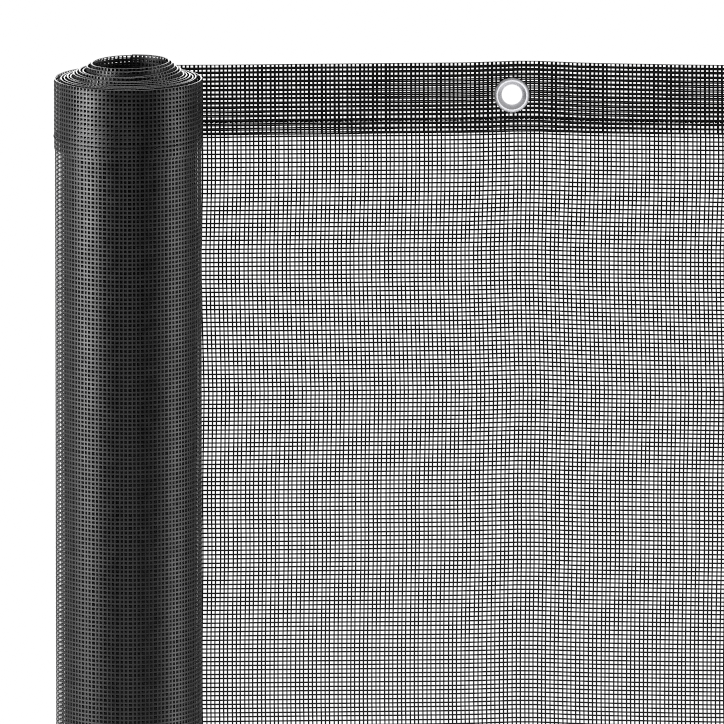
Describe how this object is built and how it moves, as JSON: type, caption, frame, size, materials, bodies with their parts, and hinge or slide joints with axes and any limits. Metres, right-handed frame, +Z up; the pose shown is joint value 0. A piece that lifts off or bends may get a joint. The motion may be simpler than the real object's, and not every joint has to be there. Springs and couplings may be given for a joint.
{
  "type": "privacy screen netting",
  "caption": "Standing roll of black open square mesh netting, its loose end drawn off the back, with a folded heading hem and a metal eyelet.",
  "frame": {"origin": "on the floor, below the middle of the whole: the roll and its loose end", "axes": "+Z up the roll, +X from the roll to the free edge of the loose end, +Y to the back, where the loose end leaves the roll"},
  "size_m": [0.4432, 0.093, 0.9118],
  "materials": {
    "netting": "black coated polyester mesh, soft satin sheen",
    "hem": "the same mesh in two layers, stitched",
    "eyelet_metal": "pressed sheet metal, satin"
  },
  "bodies": {
    "root": {"net_roll": "netting", "net_panel": "netting", "hem_strip": "hem", "eyelet": "eyelet_metal"}
  },
  "joints": []
}
